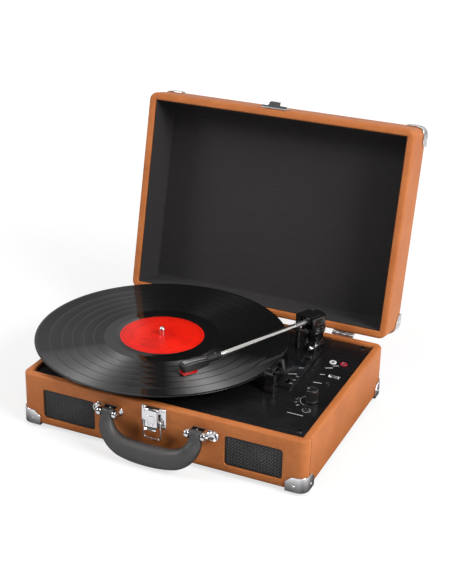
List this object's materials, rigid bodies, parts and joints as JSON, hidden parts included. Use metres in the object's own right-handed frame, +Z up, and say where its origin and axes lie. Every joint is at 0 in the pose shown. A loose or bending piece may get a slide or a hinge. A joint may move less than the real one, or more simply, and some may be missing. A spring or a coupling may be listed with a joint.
{
  "type": "suitcase record player",
  "caption": "Portable record player in a hinged tan suitcase: belt-driven platter, straight tonearm with cueing, front speakers, carrying handle and draw latch.",
  "frame": {"origin": "centre of the bottom liner panel, flush with the case's lower edge, between its feet", "axes": "+X to the right seen from the front (the handle side), +Y to the back (the hinge side), +Z up"},
  "size_m": [0.351, 0.4006, 0.328],
  "materials": {
    "tan_leatherette": "grained tan-orange leatherette, slight sheen",
    "lid_fabric": "black lining cloth",
    "fibre_board": "painted hardboard",
    "deck_plastic": "fine-textured black moulding",
    "satin_black": "satin black moulding",
    "gloss_black": "gloss black",
    "speaker_cloth": "dark grey woven grille",
    "handle_vinyl": "soft charcoal vinyl",
    "chrome": "bright chrome plate",
    "bright_steel": "bright steel",
    "tube_aluminium": "polished aluminium",
    "black_rubber": "black rubber",
    "felt_mat": "charcoal felt",
    "red_plastic": "red, slightly translucent",
    "white_plastic": "white and red insulators",
    "board_green": "green solder mask",
    "speaker_paper": "black paper cone and pressed frame"
  },
  "bodies": {
    "base": {"arm_rest": "satin_black", "aux_socket": "satin_black", "base_floor": "fibre_board", "base_guard_back_left": "chrome", "base_guard_back_right": "chrome", "base_guard_front_left": "chrome", "base_guard_front_right": "chrome", "base_shell": "tan_leatherette", "circuit_board": "board_green", "dc_socket": "satin_black", "deck_plate": "deck_plastic", "deck_screw_back_right": "satin_black", "deck_screw_front_right": "satin_black", "drive_belt": "black_rubber", "foot_back_left": "black_rubber", "foot_back_right": "black_rubber", "foot_front_left": "black_rubber", "foot_front_right": "black_rubber", "handle_bracket_left": "chrome", "handle_bracket_right": "chrome", "hinge_base_leaf_left": "bright_steel", "hinge_base_leaf_right": "bright_steel", "latch_plate": "chrome", "motor": "bright_steel", "phones_socket": "satin_black", "rca_sockets": "white_plastic", "speaker_driver_left": "speaker_paper", "speaker_driver_right": "speaker_paper", "speaker_grille_left": "speaker_cloth", "speaker_grille_right": "speaker_cloth", "spindle": "chrome", "tonearm_base": "satin_black", "usb_socket": "bright_steel"},
    "lid": {"lid_shell": "tan_leatherette", "lid_lining": "lid_fabric", "lid_guard_front_left": "chrome", "lid_guard_front_right": "chrome", "lid_guard_back_left": "chrome", "lid_guard_back_right": "chrome", "lid_strike": "chrome", "hinge_lid_leaf_left": "bright_steel", "hinge_lid_leaf_right": "bright_steel"},
    "platter": {"platter": "satin_black", "slip_mat": "felt_mat"},
    "pulley": {"motor_pulley": "satin_black"},
    "arm_yoke": {"tonearm_gimbal": "satin_black"},
    "arm": {"tonearm_block": "satin_black", "tonearm_tube": "tube_aluminium", "headshell": "satin_black", "cartridge": "gloss_black", "stylus": "red_plastic"},
    "lift_platform": {"lift_platform": "satin_black"},
    "cue_lever": {"cue_lever": "chrome"},
    "arm_clip": {"arm_rest_clip": "satin_black"},
    "handle": {"handle_grip": "handle_vinyl"},
    "latch_lever": {"latch_lever": "chrome"},
    "latch_bail": {"latch_bail": "bright_steel"},
    "volume_knob": {"volume_knob": "satin_black"},
    "speed_selector": {"speed_selector": "satin_black"},
    "autostop_switch": {"autostop_switch": "satin_black"}
  },
  "joints": [
    {"name": "lid_hinge", "type": "hinge", "parent": "base", "child": "lid", "pos_m": [0, 0.1312, 0.0611], "axis": [1, 0, 0], "range_deg": [0, 102.3]},
    {"name": "platter_spin", "type": "hinge", "parent": "base", "child": "platter", "pos_m": [-0.0638, 0.0072, 0.068], "axis": [0, 0, -1], "continuous": true},
    {"name": "pulley_spin", "type": "hinge", "parent": "base", "child": "pulley", "pos_m": [-0.1232, 0.0666, 0.063], "axis": [0, 0, -1], "continuous": true},
    {"name": "tonearm_swing", "type": "hinge", "parent": "base", "child": "arm_yoke", "pos_m": [0.0925, 0.102, 0.089], "axis": [0, 0, 1], "range_deg": [-17, 25.8]},
    {"name": "tonearm_lift", "type": "hinge", "parent": "arm_yoke", "child": "arm", "pos_m": [0.0925, 0.102, 0.089], "axis": [0.9026, -0.4305, 0], "range_deg": [-5.2, 0]},
    {"name": "cue_lever_turn", "type": "hinge", "parent": "base", "child": "cue_lever", "pos_m": [0.1031, 0.0704, 0.066], "axis": [-0.9588, 0.284, 0], "range_deg": [-50, 0]},
    {"name": "platform_rise", "type": "slide", "parent": "base", "child": "lift_platform", "axis": [0, 0, 1], "range_m": [0, 0.0025]},
    {"name": "arm_clip_turn", "type": "hinge", "parent": "base", "child": "arm_clip", "pos_m": [0.1024, -0.035, 0.084], "axis": [0, -1, 0], "range_deg": [0, 75]},
    {"name": "handle_swing", "type": "hinge", "parent": "base", "child": "handle", "pos_m": [-0.0025, -0.1395, 0.045], "axis": [1, 0, 0], "range_deg": [-125, 9]},
    {"name": "latch_lever_turn", "type": "hinge", "parent": "base", "child": "latch_lever", "pos_m": [-0.0044, -0.1325, 0.0573], "axis": [1, 0, 0], "range_deg": [-150, 0]},
    {"name": "latch_bail_turn", "type": "hinge", "parent": "latch_lever", "child": "latch_bail", "pos_m": [-0.0044, -0.1325, 0.045], "axis": [-1, 0, 0], "range_deg": [0, 175]},
    {"name": "volume_turn", "type": "hinge", "parent": "base", "child": "volume_knob", "pos_m": [0.144, -0.037, 0.066], "axis": [0, 0, 1], "range_deg": [-135, 135]},
    {"name": "speed_slide", "type": "slide", "parent": "base", "child": "speed_selector", "axis": [0, 1, 0], "range_m": [-0.006, 0.006]},
    {"name": "autostop_slide", "type": "slide", "parent": "base", "child": "autostop_switch", "axis": [0, 1, 0], "range_m": [0, 0.005]}
  ],
  "couplings": [
    {"joint": "pulley_spin", "follows": "platter_spin", "ratio": 10.29},
    {"joint": "tonearm_lift", "follows": "cue_lever_turn", "ratio": 0.1},
    {"joint": "platform_rise", "follows": "cue_lever_turn", "m_per_rad": -0.00275}
  ]
}
